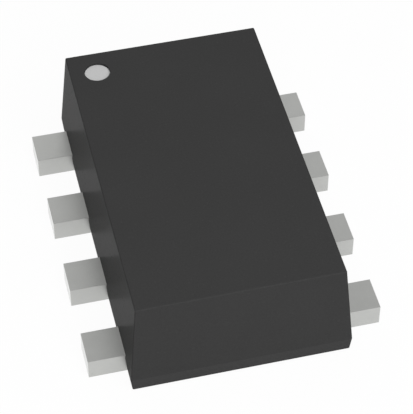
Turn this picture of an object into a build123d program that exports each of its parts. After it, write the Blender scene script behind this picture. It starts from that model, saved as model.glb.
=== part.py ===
from build123d import *
import math
import os

os.makedirs("parts", exist_ok=True)

# Switching regulator chip with eight flat leads. Inside the moulding, a silicon die lies
# face down over the inner ends of the leads and is joined to them by copper pillars.
#
# Frame: X runs across the leads, Y along the body and Z up from the circuit board. The
# origin is on the board, under the middle of the body. All sizes are in millimetres.

# Moulding
body_width = 1.20  # across the leads, at the parting line
body_thickness = 0.60
standoff = 0.01  # board to the underside of the moulding
lower_half_depth = 0.09  # underside of the moulding to the parting line
end_overhang = 0.25  # centre line of the outer leads to the end of the body
draft_angle = 5.0  # degrees, on both halves of the mould
mould_edge_radius = 0.008

# Mark of pin 1
mark_inset = 0.20  # its centre from the side and from the end of the body
mark_radius = 0.072
mark_recess = 0.015  # top of the moulding down to the face of the mark
mark_thickness = 0.010

# Leads
leads_per_side = 4
lead_pitch = 0.50
lead_span = 1.60  # tip to tip
lead_width = 0.20
lead_thickness = 0.13
lead_upset = 0.10  # rise of the inner end of a lead above its foot
finger_start = 0.32  # middle plane of the chip to the start of the flat inner ends
bend_angle = 45.0  # degrees
bend_radius = 0.03  # inside radius
shoulder_length = 0.06  # length over which a lead narrows to its finger
finger_width = 0.15
finger_gap = 0.10  # between the end of a finger and its neighbour
landing_length = 0.16  # flat inner end of a signal lead
bus_width = 0.12  # cross piece of the switch node lead
switch_tip_margin = 0.06  # end of the switch finger to the bends of the far row
blank_radius = 0.03  # corners of the stamped outline

# Joints between the leads and the die
pillar_radius = 0.040
pillar_height = 0.050
pillar_setback = 0.07  # outermost pillar to the start of the flat inner end
power_pillar_length = 0.14  # an oblong pillar, end to end
power_pillar_margin = 0.02  # end of an oblong pillar to the end of its flat
solder_height = 0.020
solder_flare = 22.0  # degrees that the solder spreads towards the lead

# Die
die_thickness = 0.15
die_side_margin = 0.15  # outermost pillar centres to the long edges of the die
die_end_margin = 0.10  # outermost pillar centres to the ends of the die

# Lead numbers, which run down the left side from the mark and up the right side
supply_lead = leads_per_side - 1
ground_lead = leads_per_side
switch_lead = leads_per_side + 1
lead_numbers = range(1, 2 * leads_per_side + 1)

# Sizes that follow from those above
row_length = (leads_per_side - 1) * lead_pitch
body_length = row_length + 2 * end_overhang
body_top = standoff + body_thickness
parting_z = standoff + lower_half_depth
finger_top = lead_upset + lead_thickness
solder_top = finger_top + solder_height
pillar_top = solder_top + pillar_height

# Stations along a lead, measured outwards from the middle plane of the chip
bend_setback = math.tan(math.radians(bend_angle / 2))
outer_bend_radius = bend_radius + lead_thickness
foot_tip = lead_span / 2
upper_corner = finger_start + bend_radius * bend_setback
lower_corner = upper_corner + lead_upset / math.tan(math.radians(bend_angle))
foot_end = lower_corner + outer_bend_radius * bend_setback
pillar_place = finger_start - pillar_setback
signal_tip = finger_start - landing_length
bus_inner_edge = finger_start - bus_width

# End of each lead's finger, negative where it reaches past the middle plane
finger_tips = {number: signal_tip for number in lead_numbers}
finger_tips[supply_lead] = -(signal_tip - finger_gap)
finger_tips[ground_lead] = -(bus_inner_edge - finger_gap)
finger_tips[switch_lead] = bus_inner_edge
switch_finger_tip = -(finger_start - switch_tip_margin)

# Number of oblong pillars on each power lead
power_pillars = {supply_lead: 2, ground_lead: 2, switch_lead: 3}


def outward(number):
    """Sign of X in which a lead points."""
    return -1 if number <= leads_per_side else 1


def row_place(number):
    """Place of a lead along its own row, to the left of the outward direction."""
    return ((number - 1) % leads_per_side) * lead_pitch - row_length / 2


def row_plane(number, height=0.0):
    """Level plane whose x points outward along a lead."""
    side = outward(number)
    return Plane(origin=(0, 0, height), x_dir=(side, 0, 0), z_dir=(0, 0, 1))


def strip_plane(number):
    """Upright plane whose x points outward along a lead and whose y points up."""
    side = outward(number)
    return Plane(origin=(0, 0, 0), x_dir=(side, 0, 0), z_dir=(0, -side, 0))


def save(part, name):
    """Label a finished piece and write it under its name."""
    part.label = name
    export_step(part, f"parts/{name}.step")


# Leads: a strip formed with two bends, cut to the outline of its stamped blank
leads = {}
for number in lead_numbers:
    place = row_place(number)
    inner_end = min(finger_tips[number], switch_finger_tip)
    upper_shift = lead_thickness * bend_setback

    with BuildPart() as lead:
        with BuildSketch(strip_plane(number)):
            with BuildLine():
                underside = FilletPolyline(
                    (foot_tip, 0),
                    (lower_corner, 0),
                    (upper_corner, lead_upset),
                    (inner_end, lead_upset),
                    radius=[outer_bend_radius, bend_radius],
                )
                upper_side = FilletPolyline(
                    (foot_tip, lead_thickness),
                    (lower_corner + upper_shift, lead_thickness),
                    (upper_corner + upper_shift, finger_top),
                    (inner_end, finger_top),
                    radius=[bend_radius, outer_bend_radius],
                )
                Line(underside @ 0, upper_side @ 0)
                Line(underside @ 1, upper_side @ 1)
            make_face()
        extrude(amount=body_length, both=True)

        with BuildSketch(row_plane(number)) as blank:
            with BuildLine():
                Polyline(
                    (foot_tip, place - lead_width / 2),
                    (foot_tip, place + lead_width / 2),
                    (foot_end, place + lead_width / 2),
                    (foot_end - shoulder_length, place + finger_width / 2),
                    (finger_tips[number], place + finger_width / 2),
                    (finger_tips[number], place - finger_width / 2),
                    (foot_end - shoulder_length, place - finger_width / 2),
                    (foot_end, place - lead_width / 2),
                    close=True,
                )
            make_face()
            if number == switch_lead:
                # A cross piece carries a second finger between the two opposite ones.
                finger_place = place + lead_pitch / 2
                finger_length = finger_start - switch_finger_tip
                bus_length = lead_pitch / 2 + finger_width
                with Locations((finger_start, place - finger_width / 2)):
                    Rectangle(bus_width, bus_length, align=(Align.MAX, Align.MIN))
                with Locations((finger_start, finger_place)):
                    Rectangle(finger_length, finger_width, align=(Align.MAX, Align.CENTER))
            finger_corners = blank.vertices().filter_by_position(
                Axis.X, -foot_tip, finger_start, inclusive=(False, True)
            )
            fillet(finger_corners, blank_radius)
        extrude(amount=finger_top, mode=Mode.INTERSECT)

    leads[number] = lead.part
    save(lead.part, f"lead_{number}")


def finger_pillars(number):
    """Name, centre and length along the lead of each pillar on a lead, in its row plane."""
    place = row_place(number)
    if number not in power_pillars:
        return [(f"{number}", (pillar_place, place), 2 * pillar_radius)]
    tip = finger_tips[number]
    if number == switch_lead:
        place += lead_pitch / 2
        tip = switch_finger_tip
    count = power_pillars[number]
    first = finger_start - power_pillar_margin - power_pillar_length / 2
    last = tip + power_pillar_margin + power_pillar_length / 2
    step = (last - first) / (count - 1)
    return [
        (f"{number}{'abc'[i]}", (first + i * step, place), power_pillar_length)
        for i in range(count)
    ]


def pillar_section(centre, length):
    """Section of a pillar in the active sketch, round or oblong along its lead."""
    with Locations(centre):
        if length > 2 * pillar_radius:
            SlotOverall(length, 2 * pillar_radius)
        else:
            Circle(pillar_radius)


# Copper pillars on the die, and the solder cap that joins each one to its lead
joints = []
for number in lead_numbers:
    for name, centre, length in finger_pillars(number):
        with BuildPart() as pillar:
            with BuildSketch(row_plane(number, solder_top)):
                pillar_section(centre, length)
            extrude(amount=pillar_height)

        with BuildPart() as solder:
            with BuildSketch(row_plane(number, solder_top)):
                pillar_section(centre, length)
            extrude(amount=-solder_height, taper=-solder_flare)

        joints += [pillar.part, solder.part]
        save(pillar.part, f"copper_pillar_{name}")
        save(solder.part, f"solder_cap_{name}")

# Silicon die, face down on the pillars
die_width = 2 * (pillar_place + die_side_margin)
die_length = row_length + 2 * die_end_margin
with BuildPart() as silicon_die:
    with BuildSketch(Plane.XY.offset(pillar_top)):
        Rectangle(die_width, die_length)
    extrude(amount=die_thickness)
save(silicon_die.part, "silicon_die")

# Mark of pin 1, at the bottom of its recess
mark_centre = (mark_inset - body_width / 2, body_length / 2 - mark_inset)
mark_bottom = body_top - mark_recess - mark_thickness
with BuildPart() as pin_1_mark:
    with BuildSketch(Plane.XY.offset(mark_bottom)):
        with Locations(mark_centre):
            Circle(mark_radius)
    extrude(amount=mark_thickness)
save(pin_1_mark.part, "pin_1_mark")

# Moulding: two drafted halves from the parting line, closed round everything inside
with BuildPart() as mould_body:
    with BuildSketch(Plane.XY.offset(parting_z)):
        Rectangle(body_width, body_length)
    extrude(amount=body_top - parting_z, taper=draft_angle)
    with BuildSketch(Plane.XY.offset(parting_z)):
        Rectangle(body_width, body_length)
    extrude(amount=-lower_half_depth, taper=draft_angle)

    parting_edges = mould_body.edges().filter_by_position(Axis.Z, parting_z, parting_z)
    fillet(mould_body.edges() - parting_edges, mould_edge_radius)

    with BuildSketch(Plane.XY.offset(body_top)):
        with Locations(mark_centre):
            Circle(mark_radius)
    extrude(amount=-(mark_recess + mark_thickness), mode=Mode.SUBTRACT)

    add([*leads.values(), *joints, silicon_die.part], mode=Mode.SUBTRACT)
save(mould_body.part, "mould_body")
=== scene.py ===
import math

import bmesh
import bpy
from mathutils import Matrix, Vector


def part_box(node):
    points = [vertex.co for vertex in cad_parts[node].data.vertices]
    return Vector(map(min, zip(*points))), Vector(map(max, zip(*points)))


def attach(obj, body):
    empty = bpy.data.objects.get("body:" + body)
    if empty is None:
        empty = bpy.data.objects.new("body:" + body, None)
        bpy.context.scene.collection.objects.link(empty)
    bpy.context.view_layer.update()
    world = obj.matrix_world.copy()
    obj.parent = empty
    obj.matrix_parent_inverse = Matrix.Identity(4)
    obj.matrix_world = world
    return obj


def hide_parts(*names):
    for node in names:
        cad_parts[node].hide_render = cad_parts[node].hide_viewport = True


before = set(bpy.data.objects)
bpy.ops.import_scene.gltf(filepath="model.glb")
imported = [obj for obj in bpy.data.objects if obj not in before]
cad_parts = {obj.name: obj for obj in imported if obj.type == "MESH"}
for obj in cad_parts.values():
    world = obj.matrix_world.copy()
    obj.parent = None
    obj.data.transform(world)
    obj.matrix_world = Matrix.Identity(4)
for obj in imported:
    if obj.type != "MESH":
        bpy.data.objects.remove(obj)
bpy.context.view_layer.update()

bl_info = {
    "name": "Switching Regulator Chip",
    "version": (1, 0, 0),
    "blender": (4, 5, 0),
    "location": "View3D > Sidebar > Regulator Chip",
    "description": "Builds a flat-lead switching regulator chip and its studio",
    "category": "Add Mesh",
}

# Settings and finished pieces are in metres. The meshes are shaped in millimetres, and
# finish_piece brings them to metres.
MM = 0.001
BODY = "root"

# Leads, numbered down the left side from the mark and up the right side
LEADS_PER_SIDE = 4
LEAD_NUMBERS = range(1, 2 * LEADS_PER_SIDE + 1)
SWITCH_LEAD = LEADS_PER_SIDE + 1

# What the frame says, in metres
PILLARS = sorted(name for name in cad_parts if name.startswith("copper_pillar_"))
CAPS = sorted(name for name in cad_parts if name.startswith("solder_cap_"))
body_low, body_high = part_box("mould_body")
mark_low, mark_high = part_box("pin_1_mark")
lead_low, lead_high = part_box("lead_1")
next_lead_low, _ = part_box("lead_2")
pillar_low, pillar_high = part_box("copper_pillar_1")

FOOT_TIP = -lead_low.x
LEAD_WIDTH = lead_high.y - lead_low.y
LEAD_PITCH = lead_low.y - next_lead_low.y
PILLAR_WIDTH = pillar_high.x - pillar_low.x
MARK_RADIUS = (mark_high.x - mark_low.x) / 2
MARK_CENTRE = (mark_low + mark_high) / 2

# Working values, in millimetres and radians
CUT_MARGIN = 0.05  # how far a cut runs on past the piece
FOOT_OVERLAP = 0.002  # how far the cut for the solder runs down into the leads
SAME_PLACE = 1e-5
PARTING_BLUR = 0.002
SHARP_ANGLE = math.radians(35)
HALF_FLOOR = 250
SENSOR_WIDTH = 36.0

# Faces along each arc or round each circle
CORNER_STEPS = 5
BEND_STEPS = 9
BEVEL_STEPS = 3
MARK_STEPS = 72
PILLAR_STEPS = 40
SOLDER_RINGS = 6


# Kinds of settings


def length_setting(name, description, millimetres):
    """A size, kept in metres."""
    return bpy.props.FloatProperty(
        name=name, description=description, default=millimetres * MM, unit="LENGTH"
    )


def angle_setting(name, description, degrees):
    """An angle, kept in radians."""
    return bpy.props.FloatProperty(
        name=name, description=description, default=math.radians(degrees), subtype="ANGLE"
    )


def colour_setting(name, description, colour):
    """A colour."""
    return bpy.props.FloatVectorProperty(
        name=name, description=description, default=colour, subtype="COLOR", min=0.0, max=1.0
    )


def share_setting(name, description, share):
    """A share, from nothing to the whole."""
    return bpy.props.FloatProperty(
        name=name, description=description, default=share, subtype="FACTOR", min=0.0, max=1.0
    )


def strength_setting(name, description, strength):
    """A brightness or a tone, where 1 is full white or no change."""
    return bpy.props.FloatProperty(name=name, description=description, default=strength, min=0.0)


def settings_of(kind, name, description):
    """A whole group of settings."""
    return bpy.props.PointerProperty(name=name, description=description, type=kind)


class MouldSettings(bpy.types.PropertyGroup):
    """Sizes and finish of the moulding."""

    draft_angle: angle_setting("Draft", "Slope of the walls, on both halves of the mould", 5)
    parting_height: length_setting("Parting Height", "Height of the parting line above the board", 0.1)
    edge_radius: length_setting("Edge Radius", "Radius of every edge but the parting line", 0.008)
    rim_radius: length_setting("Rim Radius", "Radius of the rim round the recess of the mark", 0.002)
    colour: colour_setting("Colour", "Colour of the mould compound", (0.044, 0.044, 0.044))
    # Painted light: the lower half is drawn lighter in colour to stand in for the light from the floor.
    painted_lower_light: strength_setting("Painted Lower Light", "Tone of the lower half over that of the upper", 1.16)


class LeadSettings(bpy.types.PropertyGroup):
    """Sizes and finish of the leads."""

    thickness: length_setting("Thickness", "Thickness of the strip", 0.13)
    bend_angle: angle_setting("Bend Angle", "Slope between a foot and its finger", 45)
    bend_radius: length_setting("Bend Radius", "Inside radius of both bends", 0.03)
    finger_start: length_setting("Finger Start", "Middle of the chip to the start of the fingers", 0.32)
    finger_width: length_setting("Finger Width", "Width of the inner end of a lead", 0.15)
    shoulder_length: length_setting("Shoulder Length", "Length over which a lead narrows", 0.06)
    bus_width: length_setting("Bus Width", "Width of the cross piece of the switch lead", 0.12)
    corner_radius: length_setting("Corner Radius", "Radius of the stamped corners of the fingers", 0.03)
    edge_radius: length_setting("Edge Radius", "Rounding that the plating leaves on the edges", 0.002)
    colour: colour_setting("Colour", "Colour of the tin plating", (0.578, 0.584, 0.568))
    # Painted reflection: the tips get a brighter colour than the tin to stand in for the bright
    # reflection on their faces.
    tip_painted_reflection: colour_setting("Tip Painted Reflection", "Colour of the sheared tips", (0.93, 0.935, 0.925))


class JointSettings(bpy.types.PropertyGroup):
    """Sizes and finish of the copper pillars and their solder caps."""

    edge_radius: length_setting("Edge Radius", "Radius of the rims of the pillars", 0.003)
    copper_colour: colour_setting("Copper", "Colour of the plated copper", (0.72, 0.38, 0.24))
    solder_colour: colour_setting("Solder", "Colour of the reflowed solder", (0.55, 0.56, 0.57))


class DieSettings(bpy.types.PropertyGroup):
    """Sizes and finish of the silicon die."""

    step_inset: length_setting("Step Inset", "Step that the wide saw cut leaves in the walls", 0.006)
    step_height: length_setting("Step Height", "Depth of the wide saw cut", 0.040)
    colour: colour_setting("Colour", "Colour of the ground silicon", (0.09, 0.095, 0.11))


class MarkSettings(bpy.types.PropertyGroup):
    """Finish of the mark of pin 1."""

    edge_radius: length_setting("Edge Radius", "Rounding of the rim of the mark", 0.0015)
    colour: colour_setting("Colour", "Colour of the mark", (0.52, 0.52, 0.52))


class StudioSettings(bpy.types.PropertyGroup):
    """Camera, lamp, sky and floor."""

    azimuth: angle_setting("Azimuth", "Direction of the camera round the chip", -13.515)
    elevation: angle_setting("Elevation", "Angle of the camera above the floor", 47.684)
    distance: length_setting("Distance", "Camera to the point that it looks at", 10.09)
    target: bpy.props.FloatVectorProperty(
        name="Target",
        description="Point that the camera looks at",
        default=(0.0254 * MM, -0.0760 * MM, 0.2993 * MM),
        subtype="TRANSLATION",
        unit="LENGTH",
    )
    lens: bpy.props.FloatProperty(
        name="Lens", description="Focal length of the camera", default=159.34, unit="CAMERA"
    )
    horizon_light: strength_setting("Horizon Light", "Brightness of the sky near the floor", 0.87)
    zenith_light: strength_setting("Zenith Light", "Brightness of the sky overhead", 0.65)
    bright_sky_top: angle_setting("Bright Sky Top", "Elevation where the sky starts to fade", 43.6)
    dim_sky_bottom: angle_setting("Dim Sky Bottom", "Elevation where the sky has faded", 49)
    side_start: angle_setting(
        "Side Start", "Angle from the long middle plane where the sky starts to fade", 14.5
    )
    side_end: angle_setting("Side End", "Angle from the long middle plane where the sky has faded", 30)
    side_light: share_setting(
        "Side Light", "Share of the light of the sky that falls from beside the chip", 0.0
    )
    reflected_side: share_setting(
        "Reflected Side", "Share of the light of the sky beside the chip in reflections", 0.6
    )
    key_light: strength_setting(
        "Key Light", "Brightness that a small lamp of this power gives a white surface", 1.13
    )
    key_azimuth: angle_setting("Key Azimuth", "Direction of the key lamp round the chip", 8)
    key_elevation: angle_setting("Key Elevation", "Angle of the key lamp above the floor", 56)
    key_distance: length_setting("Key Distance", "Key lamp to the middle of the chip", 24)
    key_size: length_setting("Key Size", "Side of the square key lamp", 26)
    floor_colour: colour_setting("Floor", "Colour of the floor", (0.85, 0.85, 0.85))
    floor_glow: share_setting(
        "Floor Glow", "Share of plain white in the floor as the camera sees it", 0.95
    )
    reflected_glow: share_setting(
        "Reflected Glow", "Share of plain white in the floor as reflections show it", 0.68
    )


class ChipSettings(bpy.types.PropertyGroup):
    """All settings of the chip and its studio."""

    mould: settings_of(MouldSettings, "Moulding", "Settings of the moulding")
    leads: settings_of(LeadSettings, "Leads", "Settings of the leads")
    joints: settings_of(JointSettings, "Joints", "Settings of the pillars and the solder")
    die: settings_of(DieSettings, "Die", "Settings of the die")
    mark: settings_of(MarkSettings, "Mark", "Settings of the mark of pin 1")
    studio: settings_of(StudioSettings, "Studio", "Settings of the camera, light and floor")


# Node trees


def feed(tree, socket, value):
    """Sets a socket to a value, or links it to an output or to a node's first output."""
    if isinstance(value, bpy.types.Node):
        value = value.outputs[0]
    if isinstance(value, bpy.types.NodeSocket):
        tree.links.new(value, socket)
    else:
        socket.default_value = value


def put(tree, kind, inputs=None, **settings):
    """Adds a node with its settings and feeds its inputs, by name or by number."""
    node = tree.nodes.new(kind)
    for name, value in settings.items():
        setattr(node, name, value)
    for key, value in (inputs or {}).items():
        feed(tree, node.inputs[key], value)
    return node


def maths(tree, operation, *values):
    """Math node."""
    return put(tree, "ShaderNodeMath", dict(enumerate(values)), operation=operation)


def product(tree, first, second):
    """Math node that multiplies."""
    return maths(tree, "MULTIPLY", first, second)


def vector(tree, x=0.0, y=0.0, z=0.0):
    """Vector of three values."""
    return put(tree, "ShaderNodeCombineXYZ", {"X": x, "Y": y, "Z": z})


def axes(tree, value):
    """The three values of a vector."""
    return put(tree, "ShaderNodeSeparateXYZ", {"Vector": value}).outputs


def scaled(tree, value, factor):
    """Vector or colour times a factor."""
    return put(tree, "ShaderNodeVectorMath", {0: value, "Scale": factor}, operation="SCALE")


def ranged(tree, value, low=0.0, high=1.0, start=0.0, end=1.0, curve="LINEAR"):
    """Maps a value between start and end onto low to high, and holds it beyond them."""
    inputs = {"Value": value, "From Min": start, "From Max": end, "To Min": low, "To Max": high}
    return put(tree, "ShaderNodeMapRange", inputs, interpolation_type=curve)


def new_group(name, kind, inputs, outputs):
    """A node group with its named sockets, and the sockets of its two end nodes."""
    tree = bpy.data.node_groups.new(name, kind)
    for side, sockets in (("INPUT", inputs), ("OUTPUT", outputs)):
        for label, value in sockets.items():
            tree.interface.new_socket(name=label, in_out=side, socket_type=f"NodeSocket{value}")
    return tree, put(tree, "NodeGroupInput").outputs, put(tree, "NodeGroupOutput").inputs


def shared(name, make):
    """A node group that is made once and found by its name after that."""
    return bpy.data.node_groups.get(name) or make()


# Geometry Nodes


def slab_group():
    """Group that fillets a closed ring of edges and makes it a solid between two heights."""
    inputs = {"Ring": "Geometry", "Steps": "Int", "Low": "Float", "High": "Float"}
    outputs = {"Mesh": "Geometry"}
    tree, given, result = new_group("slab_from_ring", "GeometryNodeTree", inputs, outputs)
    ring = put(tree, "GeometryNodeMeshToCurve", {"Mesh": given["Ring"]})
    closed = put(tree, "GeometryNodeSetSplineCyclic", {"Geometry": ring, "Cyclic": True})
    radius = put(tree, "GeometryNodeInputNamedAttribute", {"Name": "corner_radius"})
    outline = put(
        tree,
        "GeometryNodeFilletCurve",
        {"Curve": closed, "Radius": radius.outputs["Attribute"], "Count": given["Steps"]},
        mode="POLY",
    )
    face = put(tree, "GeometryNodeFillCurve", {"Curve": outline}, mode="NGONS")
    shift = vector(tree, z=given["Low"])
    lowered = put(tree, "GeometryNodeTransform", {"Geometry": face, "Translation": shift})
    walls = put(
        tree,
        "GeometryNodeExtrudeMesh",
        {
            "Mesh": lowered,
            "Offset": vector(tree, z=1.0),
            "Offset Scale": maths(tree, "SUBTRACT", given["High"], given["Low"]),
            "Individual": False,
        },
    )
    underside = put(tree, "GeometryNodeFlipFaces", {"Mesh": lowered})
    whole = put(tree, "GeometryNodeJoinGeometry")
    for part in (underside, walls):
        feed(tree, whole.inputs[0], part)
    merge = {"Geometry": whole, "Distance": SAME_PLACE}
    feed(tree, result["Mesh"], put(tree, "GeometryNodeMergeByDistance", merge))
    return tree


def switched(tree, data_type, values):
    """Field that gives each point the value of its index."""
    node = put(tree, "GeometryNodeIndexSwitch", data_type=data_type)
    while len(node.index_switch_items) < len(values):
        node.index_switch_items.new()
    index = put(tree, "GeometryNodeInputIndex")
    for socket, value in zip(list(node.inputs), (index, *values)):
        feed(tree, socket, value)
    return node


def end_tree(tree, socket, shape, finish):
    """Ends a tree in Realize Instances and Set Material."""
    realized = put(tree, "GeometryNodeRealizeInstances", {"Geometry": shape})
    finished = put(tree, "GeometryNodeSetMaterial", {"Geometry": realized, "Material": finish})
    feed(tree, socket, finished)


def formed_lead_tree(slab):
    """Tree that forms the stamped outline on its object into a lead with two bends."""
    stations = ("Foot Tip", "Lower Bend", "Upper Bend", "Inner End")
    measures = ("Thickness", "Upset", "Bend Shift", "Bend Radius", "Half Width", "Turn")
    inputs = {"Outline": "Geometry", **dict.fromkeys(stations + measures, "Float")}
    inputs.update({"Steps": "Int", "Finish": "Material"})
    outputs = {"Lead": "Geometry"}
    tree, given, result = new_group("formed_lead", "GeometryNodeTree", inputs, outputs)
    finger_top = maths(tree, "ADD", given["Upset"], given["Thickness"])
    outer_radius = maths(tree, "ADD", given["Bend Radius"], given["Thickness"])
    lower_top = maths(tree, "ADD", given["Lower Bend"], given["Bend Shift"])
    upper_top = maths(tree, "ADD", given["Upper Bend"], given["Bend Shift"])
    profile = [
        (given["Foot Tip"], 0.0, 0.0),
        (given["Lower Bend"], 0.0, outer_radius),
        (given["Upper Bend"], given["Upset"], given["Bend Radius"]),
        (given["Inner End"], given["Upset"], 0.0),
        (given["Inner End"], finger_top, 0.0),
        (upper_top, finger_top, outer_radius),
        (lower_top, given["Thickness"], given["Bend Radius"]),
        (given["Foot Tip"], given["Thickness"], 0.0),
    ]
    points = switched(tree, "VECTOR", [vector(tree, x, y) for x, y, radius in profile])
    radii = switched(tree, "FLOAT", [radius for x, y, radius in profile])
    corners = put(tree, "GeometryNodeMeshLine", {"Count": len(profile)})
    side_view = put(tree, "GeometryNodeSetPosition", {"Geometry": corners, "Position": points})
    rounded = put(
        tree,
        "GeometryNodeStoreNamedAttribute",
        {"Geometry": side_view, "Name": "corner_radius", "Value": radii},
        data_type="FLOAT",
        domain="POINT",
    )
    lying = put(
        tree,
        "GeometryNodeGroup",
        {
            "Ring": rounded,
            "Steps": given["Steps"],
            "Low": product(tree, given["Half Width"], -1.0),
            "High": given["Half Width"],
        },
        node_tree=slab,
    )
    upright = {"Geometry": lying, "Rotation": (math.pi / 2, 0.0, 0.0)}
    strip = put(tree, "GeometryNodeTransform", upright)
    blank = put(
        tree,
        "GeometryNodeGroup",
        {
            "Ring": given["Outline"],
            "Steps": given["Steps"],
            "Low": -CUT_MARGIN,
            "High": maths(tree, "ADD", finger_top, CUT_MARGIN),
        },
        node_tree=slab,
    )
    formed = put(tree, "GeometryNodeMeshBoolean", operation="INTERSECT", solver="EXACT")
    for solid in (strip, blank):
        feed(tree, formed.inputs["Mesh 2"], solid)
    turn = {"Geometry": formed, "Rotation": vector(tree, z=given["Turn"])}
    turned = put(tree, "GeometryNodeTransform", turn)
    end_tree(tree, result["Lead"], turned, given["Finish"])
    return tree


def joint_tree():
    """Tree that stands a column on each point, drawn out where the joint is oblong."""
    measures = ("Radius", "Reach", "Base", "Height", "Flare")
    inputs = {"Places": "Geometry", **dict.fromkeys(measures, "Float")}
    inputs.update({"Rings": "Int", "Sides": "Int", "Finish": "Material"})
    outputs = {"Joints": "Geometry"}
    tree, given, result = new_group("die_joints", "GeometryNodeTree", inputs, outputs)
    column = put(
        tree,
        "GeometryNodeMeshCylinder",
        {
            "Vertices": given["Sides"],
            "Side Segments": given["Rings"],
            "Radius": given["Radius"],
            "Depth": given["Height"],
        },
    )
    # Half a side of turn keeps the points off the plane where the halves are drawn apart.
    half_side = vector(tree, z=maths(tree, "DIVIDE", math.pi, given["Sides"]))
    turned = put(tree, "GeometryNodeTransform", {"Geometry": column, "Rotation": half_side})
    x, y, z = axes(tree, put(tree, "GeometryNodeInputPosition"))
    depth = maths(tree, "SUBTRACT", 0.5, maths(tree, "DIVIDE", z, given["Height"]))
    spread = product(tree, maths(tree, "POWER", depth, 2.0), given["Flare"])
    swell = maths(tree, "ADD", maths(tree, "DIVIDE", spread, given["Radius"]), 1.0)
    middle = maths(tree, "ADD", product(tree, given["Height"], 0.5), given["Base"])
    place = vector(
        tree, product(tree, x, swell), product(tree, y, swell), maths(tree, "ADD", z, middle)
    )
    flared = put(tree, "GeometryNodeSetPosition", {"Geometry": turned, "Position": place})
    pull = vector(tree, x=product(tree, maths(tree, "SIGN", x), given["Reach"]))
    drawn = put(tree, "GeometryNodeSetPosition", {"Geometry": flared, "Offset": pull})
    flag = put(tree, "GeometryNodeInputNamedAttribute", {"Name": "oblong"}, data_type="BOOLEAN")
    oblong = flag.outputs["Attribute"]
    plain = put(tree, "FunctionNodeBooleanMath", {0: oblong}, operation="NOT")
    joined = put(tree, "GeometryNodeJoinGeometry")
    for shape, chosen in ((flared, plain), (drawn, oblong)):
        stand = {"Points": given["Places"], "Selection": chosen, "Instance": shape}
        feed(tree, joined.inputs[0], put(tree, "GeometryNodeInstanceOnPoints", stand))
    end_tree(tree, result["Joints"], joined, given["Finish"])
    return tree


def nodes_modifier(work, tree, values):
    """Puts a geometry tree on a working object, with its inputs set by their identifiers."""
    modifier = work.modifiers.new(tree.name, "NODES")
    modifier.node_group = tree
    for item in tree.interface.items_tree:
        if item.in_out == "INPUT" and item.name in values:
            modifier[item.identifier] = values[item.name]


# Meshes


def working_object(name, mesh):
    """An object in millimetres that is still being shaped."""
    work = bpy.data.objects.new(name, mesh)
    bpy.context.scene.collection.objects.link(work)
    return work


def evaluated_mesh(work):
    """The mesh of a working object with its modifiers applied."""
    bpy.context.view_layer.update()
    depsgraph = bpy.context.evaluated_depsgraph_get()
    return bpy.data.meshes.new_from_object(work.evaluated_get(depsgraph))


def bevel(work, width):
    """Rounds the sharp edges of a working object."""
    modifier = work.modifiers.new("rounded_edges", "BEVEL")
    modifier.width = width
    modifier.segments = BEVEL_STEPS
    modifier.limit_method = "ANGLE"
    modifier.angle_limit = SHARP_ANGLE


def finish_piece(work, name, material, slot, *nodes):
    """Makes a working object a finished piece in metres that stands for its CAD nodes."""
    mesh = evaluated_mesh(work)
    bpy.data.objects.remove(work)
    mesh.shade_smooth()
    mesh.set_sharp_from_angle(angle=SHARP_ANGLE)
    smoothed = working_object(name, mesh)
    modifier = smoothed.modifiers.new("face_weighted", "WEIGHTED_NORMAL")
    modifier.keep_sharp = True
    modifier.weight = 100
    finished = evaluated_mesh(smoothed)
    bpy.data.objects.remove(smoothed)
    if not finished.polygons:
        raise RuntimeError(f"{name} came out empty")
    finished.transform(Matrix.Scale(MM, 4))
    finished.materials.clear()
    finished.materials.append(material)
    piece = bpy.data.objects.new(name, finished)
    bpy.context.scene.collection.objects.link(piece)
    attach(piece, BODY)
    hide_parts(*nodes)


def ring_mesh(name, corners):
    """A closed ring of edges through corners of x, y and corner radius."""
    mesh = bpy.data.meshes.new(name)
    count = len(corners)
    edges = [(i, (i + 1) % count) for i in range(count)]
    mesh.from_pydata([(x, y, 0.0) for x, y, radius in corners], edges, [])
    attribute = mesh.attributes.new("corner_radius", "FLOAT", "POINT")
    attribute.data.foreach_set("value", [radius for x, y, radius in corners])
    return mesh


def stacked_mesh(name, loops):
    """A closed solid through level loops that all have the same number of points."""
    shape = bmesh.new()
    rows = [[shape.verts.new(point) for point in loop] for loop in loops]
    for lower, upper in zip(rows, rows[1:]):
        for i in range(len(lower)):
            j = (i + 1) % len(lower)
            shape.faces.new((lower[i], lower[j], upper[j], upper[i]))
    shape.faces.new(list(reversed(rows[0])))
    shape.faces.new(rows[-1])
    bmesh.ops.remove_doubles(shape, verts=shape.verts, dist=SAME_PLACE)
    bmesh.ops.recalc_face_normals(shape, faces=shape.faces)
    mesh = bpy.data.meshes.new(name)
    shape.to_mesh(mesh)
    shape.free()
    return mesh


def sweep(start, end):
    """Angles of a rounded corner from start to end, with both of them."""
    return [start + i / CORNER_STEPS * (end - start) for i in range(CORNER_STEPS + 1)]


def rounded_rectangle(half_x, half_y, radius, height):
    """Level loop round a rectangle that is grown by a radius at its corners."""
    loop = []
    for quarter, (side_x, side_y) in enumerate(((1, 1), (-1, 1), (-1, -1), (1, -1))):
        for angle in sweep(quarter * math.pi / 2, (quarter + 1) * math.pi / 2):
            x = side_x * half_x + radius * math.cos(angle)
            y = side_y * half_y + radius * math.sin(angle)
            loop.append((x, y, height))
    return loop


def level_circle(radius, height):
    """Level loop round the middle of the mark."""
    centre = MARK_CENTRE / MM
    angles = [2 * math.pi * i / MARK_STEPS for i in range(MARK_STEPS)]
    return [
        (centre.x + radius * math.cos(a), centre.y + radius * math.sin(a), height) for a in angles
    ]


def round_rim(top, radius, rounding):
    """Circles up a rounded rim, which leans inwards where the rounding is negative."""
    loops = []
    for angle in sweep(0.0, math.pi / 2):
        height = top - abs(rounding) * (1 - math.sin(angle))
        loops.append(level_circle(radius + rounding * (1 - math.cos(angle)), height))
    return loops


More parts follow.
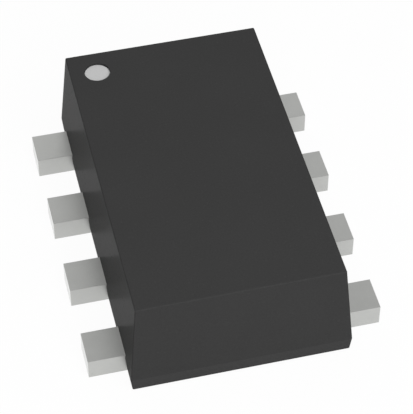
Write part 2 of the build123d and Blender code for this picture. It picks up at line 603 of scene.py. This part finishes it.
def cutter(names, foot_overlap=0.0):
    """A working object in millimetres that joins copies of finished pieces.

    The overlap draws their lowest faces down into the pieces that they stand on.
    """
    shape = bmesh.new()
    for name in names:
        shape.from_mesh(bpy.data.objects[name].data)
    shape.transform(Matrix.Scale(1 / MM, 4))
    foot = min(vert.co.z for vert in shape.verts)
    for vert in shape.verts:
        if vert.co.z < foot + SAME_PLACE:
            vert.co.z -= foot_overlap
    mesh = bpy.data.meshes.new("cutter")
    shape.to_mesh(mesh)
    shape.free()
    return working_object("cutter", mesh)


def subtract(work, other):
    """Cuts one working object out of another."""
    modifier = work.modifiers.new("cut", "BOOLEAN")
    modifier.operation = "DIFFERENCE"
    modifier.solver = "EXACT"
    modifier.object = other


# Shader groups


def noise(tree, place, per_millimetre, detail, roughness):
    """Soft random pattern."""
    inputs = {"Vector": place, "Scale": per_millimetre, "Detail": detail, "Roughness": roughness}
    return put(tree, "ShaderNodeTexNoise", inputs)


def grain_group():
    """Grain of a given size, as a tone round one half and as a height."""
    inputs = {"Place": "Vector", "Per Millimetre": "Float", "Detail": "Float"}
    outputs = {"Tone": "Float", "Height": "Float"}
    tree, given, result = new_group("surface_grain", "ShaderNodeTree", inputs, outputs)
    height = noise(tree, given["Place"], given["Per Millimetre"], given["Detail"], roughness=0.62)
    tone = ranged(tree, height, start=0.3, end=0.7, curve="SMOOTHSTEP")
    feed(tree, result["Tone"], tone)
    feed(tree, result["Height"], height)
    return tree


def speck_group():
    """Round specks in a share of the cells of a random pattern."""
    inputs = {"Place": "Vector", "Per Millimetre": "Float", "Share": "Float"}
    outputs = {"Mask": "Float"}
    tree, given, result = new_group("filler_specks", "ShaderNodeTree", inputs, outputs)
    pattern = {"Vector": given["Place"], "Scale": given["Per Millimetre"]}
    cells = put(tree, "ShaderNodeTexVoronoi", pattern)
    random = put(tree, "ShaderNodeSeparateColor", {"Color": cells.outputs["Color"]})
    chosen = maths(tree, "LESS_THAN", random.outputs["Red"], given["Share"])
    size = ranged(tree, random.outputs["Green"], low=0.18, high=0.42)
    nearness = maths(tree, "SUBTRACT", 1.0, maths(tree, "DIVIDE", cells.outputs["Distance"], size))
    soft = ranged(tree, nearness, end=0.35, curve="SMOOTHSTEP")
    feed(tree, result["Mask"], product(tree, soft, chosen))
    return tree


def line_group():
    """Fine lines along X, as rolling and grinding leave them."""
    stretch = 20.0
    inputs = {"Place": "Vector", "Per Millimetre": "Float"}
    outputs = {"Tone": "Float"}
    tree, given, result = new_group("working_lines", "ShaderNodeTree", inputs, outputs)
    x, y, z = axes(tree, given["Place"])
    drawn = vector(tree, product(tree, x, 1 / stretch), y, z)
    streaks = noise(tree, drawn, given["Per Millimetre"], detail=3.0, roughness=0.5)
    feed(tree, result["Tone"], ranged(tree, streaks, start=0.35, end=0.65))
    return tree


def grain(tree, place, per_millimetre, detail=3.0):
    """Tone and height of the grain group."""
    values = {"Place": place, "Per Millimetre": per_millimetre, "Detail": detail}
    group = shared("surface_grain", grain_group)
    outputs = put(tree, "ShaderNodeGroup", values, node_tree=group).outputs
    return outputs["Tone"], outputs["Height"]


def specks(tree, place, per_millimetre, share):
    """Mask of the speck group."""
    values = {"Place": place, "Per Millimetre": per_millimetre, "Share": share}
    return put(tree, "ShaderNodeGroup", values, node_tree=shared("filler_specks", speck_group))


def lines(tree, place, per_millimetre):
    """Tone of the line group."""
    values = {"Place": place, "Per Millimetre": per_millimetre}
    return put(tree, "ShaderNodeGroup", values, node_tree=shared("working_lines", line_group))


# Materials


def new_material(name):
    """A material, its node tree and its Principled shader."""
    material = bpy.data.materials.new(name)
    material.use_nodes = True
    return material, material.node_tree, material.node_tree.nodes["Principled BSDF"]


def place_on_piece(tree):
    """Object coordinates in millimetres."""
    return scaled(tree, put(tree, "ShaderNodeTexCoord").outputs["Object"], 1 / MM)


def mixed(tree, factor, first, second, kind="RGBA"):
    """Mixes two colours or two values by a mask."""
    inputs = {"Factor": factor, "A": first, "B": second}
    return put(tree, "ShaderNodeMix", inputs, data_type=kind).outputs["Result"]


def ray_masks(tree):
    """Masks of the rays from the camera, and of those that were reflected or let through."""
    rays = put(tree, "ShaderNodeLightPath").outputs
    bent = maths(tree, "MAXIMUM", rays["Is Glossy Ray"], rays["Is Transmission Ray"])
    return rays["Is Camera Ray"], bent


def finish_shader(tree, shader, colour, roughness, relief, depth, **values):
    """Feeds a shader its colour, its roughness, a relief of a depth in metres and plain values."""
    bump = put(tree, "ShaderNodeBump", {"Height": relief, "Distance": depth})
    inputs = {"Base Color": colour, "Roughness": roughness, "Normal": bump, **values}
    for name, value in inputs.items():
        feed(tree, shader.inputs[name], value)


def mould_compound(settings):
    """Dark epoxy with silica filler and the fine matt grain of the mould, with painted light on its
    lower half.
    """
    speck_tone = 1.22
    speck_cover = 0.45
    speck_depth = 0.2
    material, tree, shader = new_material("mould_compound")
    place = place_on_piece(tree)
    fine, fine_height = grain(tree, place, per_millimetre=95.0)
    broad, _ = grain(tree, place, per_millimetre=2.2, detail=2.0)
    filler = specks(tree, place, per_millimetre=60.0, share=0.22)
    # The lower half of the mould is painted lighter: painted light standing in for the light that the
    # floor throws up on the downward-facing lower walls.
    parting = settings.parting_height / MM
    painted_half_light = ranged(
        tree,
        axes(tree, place)["Z"],
        low=1.0,
        high=settings.painted_lower_light,
        start=parting + PARTING_BLUR,
        end=parting - PARTING_BLUR,
    )
    grain_tone = product(tree, ranged(tree, fine, 0.955, 1.045), ranged(tree, broad, 0.985, 1.015))
    plain = scaled(tree, tuple(settings.colour), product(tree, grain_tone, painted_half_light))
    speck_colour = (*(speck_tone * value for value in settings.colour), 1.0)
    colour = mixed(tree, product(tree, filler, speck_cover), plain, speck_colour)
    relief = maths(tree, "SUBTRACT", fine_height, product(tree, filler, speck_depth))
    roughness = ranged(tree, fine, 0.27, 0.33)
    finish_shader(tree, shader, colour, roughness, relief, depth=0.25e-6, IOR=1.042)
    return material


def mark_ink(settings):
    """Matt light grey of the mark of pin 1."""
    speck_tone = 0.02
    material, tree, shader = new_material("mark_ink")
    place = place_on_piece(tree)
    fine, height = grain(tree, place, per_millimetre=120.0)
    filler = specks(tree, place, per_millimetre=70.0, share=0.3)
    darker = product(tree, filler, speck_tone)
    tone = maths(tree, "SUBTRACT", ranged(tree, fine, 0.98, 1.02), darker)
    colour = scaled(tree, tuple(settings.colour), tone)
    roughness = ranged(tree, fine, 0.55, 0.65)
    finish_shader(tree, shader, colour, roughness, height, depth=0.2e-6, IOR=1.2)
    return material


def tin_plating(settings):
    """Matt tin on rolled strip: fine crystals and faint rolling lines, with the sheared tips painted
    brighter as a painted reflection of the white surroundings.
    """
    line_depth = 0.4
    material, tree, shader = new_material("tin_plating")
    place = place_on_piece(tree)
    crystals, height = grain(tree, place, per_millimetre=140.0)
    patches, _ = grain(tree, place, per_millimetre=9.0, detail=2.0)
    x, y, z = axes(tree, place)
    tip = ranged(
        tree,
        maths(tree, "ABSOLUTE", x),
        start=(FOOT_TIP - settings.edge_radius) / MM,
        end=FOOT_TIP / MM - SAME_PLACE,
    )
    # The lines run along the lead, and up and down on its tip.
    along = lines(tree, place, per_millimetre=60.0)
    upright = lines(tree, vector(tree, z, y, x), per_millimetre=60.0)
    rolled = mixed(tree, tip, along, upright, "FLOAT")
    tone = product(tree, ranged(tree, crystals, 0.985, 1.015), ranged(tree, patches, 0.985, 1.015))
    top_colour = scaled(tree, tuple(settings.colour), tone)
    # The tips take the brighter colour, a painted reflection on their faces.
    colour = mixed(tree, tip, top_colour, scaled(tree, tuple(settings.tip_painted_reflection), tone))
    worked = product(tree, maths(tree, "ADD", rolled, crystals), 0.5)
    relief = maths(tree, "ADD", height, product(tree, rolled, line_depth))
    roughness = ranged(tree, worked, 0.36, 0.40)
    finish_shader(tree, shader, colour, roughness, relief, depth=0.03e-6, Metallic=1.0)
    return material


def plated_copper(settings):
    """Fine grained plated copper of the pillars."""
    material, tree, shader = new_material("plated_copper")
    crystals, height = grain(tree, place_on_piece(tree), per_millimetre=180.0)
    colour = scaled(tree, tuple(settings.copper_colour), ranged(tree, crystals, 0.92, 1.05))
    roughness = ranged(tree, crystals, 0.32, 0.42)
    finish_shader(tree, shader, colour, roughness, height, depth=0.15e-6, Metallic=1.0)
    return material


def reflowed_solder(settings):
    """Solder that froze with a slightly uneven skin."""
    material, tree, shader = new_material("reflowed_solder")
    skin, height = grain(tree, place_on_piece(tree), per_millimetre=70.0, detail=2.0)
    colour = scaled(tree, tuple(settings.solder_colour), ranged(tree, skin, 0.95, 1.04))
    roughness = ranged(tree, skin, 0.22, 0.34)
    finish_shader(tree, shader, colour, roughness, height, depth=0.3e-6, Metallic=1.0)
    return material


def ground_silicon(settings):
    """Silicon with the fine lines of the back grinding."""
    material, tree, shader = new_material("ground_silicon")
    ground = lines(tree, place_on_piece(tree), per_millimetre=90.0)
    colour = scaled(tree, tuple(settings.colour), ranged(tree, ground, 0.93, 1.06))
    roughness = ranged(tree, ground, 0.2, 0.3)
    finish_shader(tree, shader, colour, roughness, ground, depth=0.1e-6, IOR=2.5)
    return material


def pale_floor(settings):
    """Pale floor that shows white to the camera and in reflections, and keeps a soft shadow."""
    material, tree, shader = new_material("pale_floor")
    shader.inputs["Base Color"].default_value = (*settings.floor_colour, 1.0)
    shader.inputs["Roughness"].default_value = 0.9
    shader.inputs["Specular IOR Level"].default_value = 0.0
    seen, bent = ray_masks(tree)
    seen_glow = product(tree, seen, settings.floor_glow)
    share = maths(tree, "ADD", seen_glow, product(tree, bent, settings.reflected_glow))
    white = put(tree, "ShaderNodeEmission", {"Strength": 1.0})
    mix = put(tree, "ShaderNodeMixShader", {0: share, 1: shader, 2: white})
    feed(tree, tree.nodes["Material Output"].inputs["Surface"], mix)
    return material


# Leads


class LeadShape:
    """The stations of one lead in millimetres, outwards from the middle plane of the chip."""

    def __init__(self, number, settings):
        low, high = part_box(f"lead_{number}")
        self.left = number <= LEADS_PER_SIDE
        self.switches = number == SWITCH_LEAD
        self.inner_end = (-high.x if self.left else low.x) / MM
        row_middle = (LEADS_PER_SIDE - 1) / 2
        self.place = ((number - 1) % LEADS_PER_SIDE - row_middle) * LEAD_PITCH / MM
        self.thickness = settings.thickness / MM
        self.upset = high.z / MM - self.thickness
        self.bend_radius = settings.bend_radius / MM
        self.setback = math.tan(settings.bend_angle / 2)
        self.finger_start = settings.finger_start / MM
        self.upper_bend = self.finger_start + self.bend_radius * self.setback
        self.lower_bend = self.upper_bend + self.upset / math.tan(settings.bend_angle)
        self.foot_end = self.lower_bend + (self.bend_radius + self.thickness) * self.setback

    def outline(self, settings):
        """Corners of the stamped blank, each with its radius."""
        tip = FOOT_TIP / MM + CUT_MARGIN
        half_foot = LEAD_WIDTH / MM / 2
        half_finger = settings.finger_width / MM / 2
        shoulder = self.foot_end - settings.shoulder_length / MM
        near = self.place - half_finger
        far = self.place + half_finger
        radius = settings.corner_radius / MM
        foot_side = [
            (shoulder, near, 0.0),
            (self.foot_end, self.place - half_foot, 0.0),
            (tip, self.place - half_foot, 0.0),
            (tip, self.place + half_foot, 0.0),
            (self.foot_end, self.place + half_foot, 0.0),
            (shoulder, far, 0.0),
        ]
        if not self.switches:
            return foot_side + [(self.inner_end, far, radius), (self.inner_end, near, radius)]
        # A cross piece carries a second finger between the two opposite ones.
        bus_edge = self.finger_start - settings.bus_width / MM
        finger_place = self.place + LEAD_PITCH / MM / 2
        return foot_side + [
            (self.finger_start, far, radius),
            (self.finger_start, finger_place + half_finger, radius),
            (self.inner_end, finger_place + half_finger, radius),
            (self.inner_end, finger_place - half_finger, radius),
            (bus_edge, finger_place - half_finger, radius),
            (bus_edge, near, radius),
        ]

    def form_values(self):
        """Inputs of the tree that forms the blank."""
        return {
            "Foot Tip": FOOT_TIP / MM,
            "Lower Bend": self.lower_bend,
            "Upper Bend": self.upper_bend,
            "Inner End": self.inner_end - CUT_MARGIN,
            "Thickness": self.thickness,
            "Upset": self.upset,
            "Bend Shift": self.thickness * self.setback,
            "Bend Radius": self.bend_radius,
            "Half Width": body_high.y / MM,
            "Turn": math.pi if self.left else 0.0,
            "Steps": BEND_STEPS,
        }


class CHIP_OT_form_leads(bpy.types.Operator):
    """Stamp and form the eight leads"""

    bl_idname = "chip.form_leads"
    bl_label = "Form Leads"

    def execute(self, context):
        settings = context.scene.regulator_chip.leads
        material = tin_plating(settings)
        tree = formed_lead_tree(slab_group())
        for number in LEAD_NUMBERS:
            lead = LeadShape(number, settings)
            work = working_object("outline", ring_mesh("outline", lead.outline(settings)))
            nodes_modifier(work, tree, {**lead.form_values(), "Finish": material})
            bevel(work, settings.edge_radius / MM)
            finish_piece(work, f"formed_lead_{number}", material, "lead_plating", f"lead_{number}")
        return {"FINISHED"}


# Joints between the leads and the die


def joint_places(boxes, reaches):
    """A mesh with a point in the middle of each joint, and which of the joints are oblong."""
    mesh = bpy.data.meshes.new("joint_places")
    middles = [(low + high) / (2 * MM) for low, high in boxes]
    mesh.from_pydata([(middle.x, middle.y, 0.0) for middle in middles], [], [])
    attribute = mesh.attributes.new("oblong", "BOOLEAN", "POINT")
    attribute.data.foreach_set("value", [reach > max(reaches) / 2 for reach in reaches])
    return mesh


def make_joints(name, nodes, material, slot, rings=1, edge_radius=0.0):
    """Makes all joints of one kind, the first of them round, as a finished piece."""
    boxes = [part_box(node) for node in nodes]
    sizes = [high - low for low, high in boxes]
    # Each half of an oblong joint is drawn out by its reach from a round one.
    reaches = [(size.x - size.y) / 2 for size in sizes]
    work = working_object(name, joint_places(boxes, reaches))
    low, high = boxes[0]
    values = {
        "Radius": PILLAR_WIDTH / MM / 2,
        "Reach": max(reaches) / MM,
        "Base": low.z / MM,
        "Height": (high.z - low.z) / MM,
        "Flare": (high.x - low.x - PILLAR_WIDTH) / 2 / MM,
        "Rings": rings,
        "Sides": PILLAR_STEPS,
        "Finish": material,
    }
    nodes_modifier(work, shared("die_joints", joint_tree), values)
    if edge_radius:
        bevel(work, edge_radius / MM)
    finish_piece(work, name, material, slot, *nodes)


class CHIP_OT_plate_pillars(bpy.types.Operator):
    """Plate the copper pillars onto the die"""

    bl_idname = "chip.plate_pillars"
    bl_label = "Plate Pillars"

    def execute(self, context):
        settings = context.scene.regulator_chip.joints
        copper = plated_copper(settings)
        rim = settings.edge_radius
        make_joints("copper_pillars", PILLARS, copper, "pillar_copper", edge_radius=rim)
        return {"FINISHED"}


class CHIP_OT_reflow_solder(bpy.types.Operator):
    """Reflow the solder caps between the pillars and the leads"""

    bl_idname = "chip.reflow_solder"
    bl_label = "Reflow Solder"

    def execute(self, context):
        solder = reflowed_solder(context.scene.regulator_chip.joints)
        make_joints("solder_caps", CAPS, solder, "solder", rings=SOLDER_RINGS)
        return {"FINISHED"}


# Die, mark and moulding


class CHIP_OT_saw_die(bpy.types.Operator):
    """Saw the silicon die"""

    bl_idname = "chip.saw_die"
    bl_label = "Saw Die"

    def execute(self, context):
        settings = context.scene.regulator_chip.die
        low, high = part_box("silicon_die")
        half = (high - low) / (2 * MM)
        bottom = low.z / MM
        step_top = bottom + settings.step_height / MM
        inset = settings.step_inset / MM
        loops = [
            rounded_rectangle(half.x - inset, half.y - inset, 0.0, bottom),
            rounded_rectangle(half.x - inset, half.y - inset, 0.0, step_top),
            rounded_rectangle(half.x, half.y, 0.0, step_top + inset),
            rounded_rectangle(half.x, half.y, 0.0, high.z / MM),
        ]
        work = working_object("die", stacked_mesh("die", loops))
        finish_piece(work, "sawn_die", ground_silicon(settings), "silicon", "silicon_die")
        return {"FINISHED"}


class CHIP_OT_print_mark(bpy.types.Operator):
    """Print the mark of pin 1"""

    bl_idname = "chip.print_mark"
    bl_label = "Print Mark"

    def execute(self, context):
        settings = context.scene.regulator_chip.mark
        radius = MARK_RADIUS / MM
        rim = round_rim(mark_high.z / MM, radius, -settings.edge_radius / MM)
        loops = [level_circle(radius, mark_low.z / MM), *rim]
        work = working_object("mark", stacked_mesh("mark", loops))
        finish_piece(work, "printed_mark", mark_ink(settings), "mark_ink", "pin_1_mark")
        return {"FINISHED"}


def mould_loops(settings):
    """Level loops of the moulding, from its underside up to its top."""
    half_x = (body_high.x - body_low.x) / (2 * MM)
    half_y = (body_high.y - body_low.y) / (2 * MM)
    parting = settings.parting_height / MM
    radius = settings.edge_radius / MM
    draft = settings.draft_angle
    wall_inset = radius / math.cos(draft)

    def loop(centre, reach, height):
        """Loop at a height, grown by its reach from the centres of an edge radius at a level."""
        slope = abs(centre - parting) * math.tan(draft) + wall_inset
        return rounded_rectangle(half_x - slope, half_y - slope, reach, height)

    def edge(centre, start, end):
        """Loops round an edge radius whose centres are at a level."""
        return [
            loop(centre, radius * math.cos(angle), centre + radius * math.sin(angle))
            for angle in sweep(start, end)
        ]

    # The lower edge turns from the underside to the wall, and the upper one on to the top.
    lower_edge = edge(body_low.z / MM + radius, -math.pi / 2, -draft)
    upper_edge = edge(body_high.z / MM - radius, draft, math.pi / 2)
    return [*lower_edge, loop(parting, wall_inset, parting), *upper_edge]


def recess_cutter(settings):
    """Working object that cuts the recess of the mark, with a rounded rim."""
    radius = MARK_RADIUS / MM
    rim = settings.rim_radius / MM
    top = body_high.z / MM
    loops = [
        level_circle(radius, mark_low.z / MM),
        *round_rim(top, radius, rim),
        level_circle(radius + rim, top + CUT_MARGIN),
    ]
    return working_object("recess", stacked_mesh("recess", loops))


class CHIP_OT_mould_body(bpy.types.Operator):
    """Mould the body round the pieces inside it"""

    bl_idname = "chip.mould_body"
    bl_label = "Mould Body"

    def execute(self, context):
        settings = context.scene.regulator_chip.mould
        work = working_object("moulding", stacked_mesh("moulding", mould_loops(settings)))
        cutters = [
            recess_cutter(settings),
            cutter([f"formed_lead_{number}" for number in LEAD_NUMBERS]),
            cutter(["solder_caps"], FOOT_OVERLAP),
            cutter(["copper_pillars"]),
            cutter(["sawn_die"]),
        ]
        for other in cutters:
            subtract(work, other)
        finish_piece(work, "moulding", mould_compound(settings), "mould_compound", "mould_body")
        for other in cutters:
            bpy.data.objects.remove(other)
        return {"FINISHED"}


# Studio


def aim(name, data, middle, azimuth, elevation, distance):
    """Places a camera or a lamp to look at a point. Azimuth 0 is on the side of -Y."""
    level = math.cos(elevation)
    away = Vector((math.sin(azimuth) * level, -math.cos(azimuth) * level, math.sin(elevation)))
    thing = bpy.data.objects.new(name, data)
    thing.location = middle + away * distance
    thing.rotation_euler = (-away).to_track_quat("-Z", "Y").to_euler()
    bpy.context.scene.collection.objects.link(thing)
    return thing


def set_world(scene, settings):
    """Sky that shows white to the camera, and dims overhead and sideways for everything else."""
    world = bpy.data.worlds.new("studio_sky")
    scene.world = world
    world.use_nodes = True
    tree = world.node_tree
    background = tree.nodes["Background"]
    x, _, z = axes(tree, put(tree, "ShaderNodeTexCoord").outputs["Generated"])

    def fade(sine, low, high, start, end):
        """Smooth change from low to high between two angles."""
        return ranged(tree, sine, low, high, math.sin(start), math.sin(end), "SMOOTHSTEP")

    lights = (settings.horizon_light, settings.zenith_light)
    dome = fade(z, *lights, settings.bright_sky_top, settings.dim_sky_bottom)
    aside = maths(tree, "ABSOLUTE", x)
    sides = fade(aside, 1.0, settings.side_light, settings.side_start, settings.side_end)
    seen, reflected = ray_masks(tree)
    reflected_sides = product(tree, reflected, settings.reflected_side)
    sky = product(tree, dome, maths(tree, "MAXIMUM", sides, reflected_sides))
    background.inputs["Color"].default_value = (1.0, 1.0, 1.0, 1.0)
    feed(tree, background.inputs["Strength"], mixed(tree, seen, sky, 1.0, "FLOAT"))


def set_key_lamp(settings):
    """Large soft square lamp on the side of the camera."""
    lamp = bpy.data.lights.new("key_lamp", "AREA")
    lamp.size = settings.key_size
    # A small lamp of this power gives a white surface that faces it the brightness that is set.
    lamp.energy = settings.key_light * (math.pi * settings.key_distance) ** 2
    middle = (body_low + body_high) / 2
    place = (settings.key_azimuth, settings.key_elevation, settings.key_distance)
    aim("key_lamp", lamp, middle, *place).visible_glossy = False


class CHIP_OT_set_stage(bpy.types.Operator):
    """Set up the floor, the light and the camera"""

    bl_idname = "chip.set_stage"
    bl_label = "Set Stage"

    def execute(self, context):
        scene = context.scene
        settings = scene.regulator_chip.studio
        half = HALF_FLOOR * MM
        corners = [(-half, -half, 0.0), (half, -half, 0.0), (half, half, 0.0), (-half, half, 0.0)]
        mesh = bpy.data.meshes.new("floor")
        mesh.from_pydata(corners, [], [(0, 1, 2, 3)])
        mesh.materials.append(pale_floor(settings))
        floor = bpy.data.objects.new("floor", mesh)
        scene.collection.objects.link(floor)

        set_world(scene, settings)
        set_key_lamp(settings)

        camera = bpy.data.cameras.new("camera")
        camera.lens = settings.lens
        camera.sensor_width = SENSOR_WIDTH
        camera.clip_start = 1 * MM
        camera.clip_end = 1000 * MM
        place = (settings.azimuth, settings.elevation, settings.distance)
        scene.camera = aim("camera", camera, Vector(settings.target), *place)
        scene.view_settings.view_transform = "Standard"
        return {"FINISHED"}


SETTINGS = (MouldSettings, LeadSettings, JointSettings, DieSettings, MarkSettings, StudioSettings)
STEPS = (
    CHIP_OT_form_leads,
    CHIP_OT_reflow_solder,
    CHIP_OT_plate_pillars,
    CHIP_OT_saw_die,
    CHIP_OT_print_mark,
    CHIP_OT_mould_body,
    CHIP_OT_set_stage,
)


class CHIP_PT_panel(bpy.types.Panel):
    """Sidebar panel with the steps and the settings of the chip"""

    bl_idname = "CHIP_PT_panel"
    bl_label = "Regulator Chip"
    bl_space_type = "VIEW_3D"
    bl_region_type = "UI"
    bl_category = "Regulator Chip"

    def draw(self, context):
        for step in STEPS:
            self.layout.operator(step.bl_idname)
        for part in ChipSettings.__annotations__:
            group = getattr(context.scene.regulator_chip, part)
            box = self.layout.box()
            for name in group.__annotations__:
                box.prop(group, name)


CLASSES = (*SETTINGS, ChipSettings, *STEPS, CHIP_PT_panel)


def register():
    """Registers the settings, the operators and the panel."""
    for kind in CLASSES:
        bpy.utils.register_class(kind)
    bpy.types.Scene.regulator_chip = settings_of(ChipSettings, "Regulator Chip", "All settings")


def unregister():
    """Undoes register."""
    del bpy.types.Scene.regulator_chip
    for kind in reversed(CLASSES):
        bpy.utils.unregister_class(kind)


def main():
    """Builds the chip and its stage."""
    register()
    bpy.ops.chip.form_leads()
    bpy.ops.chip.reflow_solder()
    bpy.ops.chip.plate_pillars()
    bpy.ops.chip.saw_die()
    bpy.ops.chip.print_mark()
    bpy.ops.chip.mould_body()
    bpy.ops.chip.set_stage()


if __name__ == "__main__":
    main()
